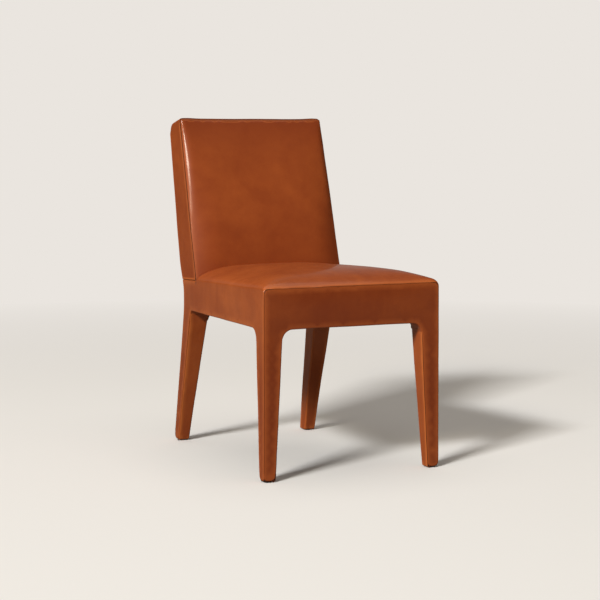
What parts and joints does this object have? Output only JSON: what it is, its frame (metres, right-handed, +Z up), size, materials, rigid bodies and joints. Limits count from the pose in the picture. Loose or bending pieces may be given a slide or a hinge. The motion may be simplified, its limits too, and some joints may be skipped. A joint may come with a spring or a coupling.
{
  "type": "dining chair",
  "caption": "Armless dining side chair, fully covered in saddle-brown leather, with a crowned seat, a reclined box-edged back, arched aprons and tapered legs, the rear ones raked back",
  "frame": {"origin": "on the floor, under the middle of the chair's bounding box", "axes": "+Z up, -Y to the front of the chair, +X to the sitter's left"},
  "size_m": [0.5, 0.7228, 0.913],
  "materials": {
    "leather": "semi-gloss, fine grain, saddle brown",
    "frame_wood": "sanded beech, unfinished",
    "dowel_wood": "fluted beech, unfinished",
    "foam": "open-cell polyurethane foam",
    "wadding": "polyester wadding",
    "webbing": "woven elastic webbing",
    "dust_cloth": "black non-woven cloth",
    "screw_steel": "zinc plated",
    "nail_steel": "bright",
    "staple_steel": "galvanised",
    "glide_plastic": "dark brown, moulded"
  },
  "bodies": {
    "root": {"back_boxing": "leather", "back_foam": "foam", "back_front_cover": "leather", "back_leg_left": "frame_wood", "back_leg_right": "frame_wood", "back_lower_rail": "frame_wood", "back_rear_padding": "wadding", "back_top_rail": "frame_wood", "back_webbing": "webbing", "corner_block_back_left": "frame_wood", "corner_block_back_right": "frame_wood", "corner_block_front_left": "frame_wood", "corner_block_front_right": "frame_wood", "corner_block_screws": "screw_steel", "dust_cover": "dust_cloth", "dust_cover_staples": "staple_steel", "foot_glide_back_left": "glide_plastic", "foot_glide_back_right": "glide_plastic", "foot_glide_front_left": "glide_plastic", "foot_glide_front_right": "glide_plastic", "frame_dowels": "dowel_wood", "front_cover": "leather", "front_leg_left": "frame_wood", "front_leg_right": "frame_wood", "glide_nails": "nail_steel", "leg_sleeve_back_left": "leather", "leg_sleeve_back_right": "leather", "leg_sleeve_front_left": "leather", "leg_sleeve_front_right": "leather", "outside_back_panel": "leather", "rear_cover": "leather", "seat_cover": "leather", "seat_foam": "foam", "seat_rail_back": "frame_wood", "seat_rail_front": "frame_wood", "seat_rail_left": "frame_wood", "seat_rail_right": "frame_wood", "seat_webbing_crosswise": "webbing", "seat_webbing_lengthwise": "webbing"}
  },
  "joints": []
}
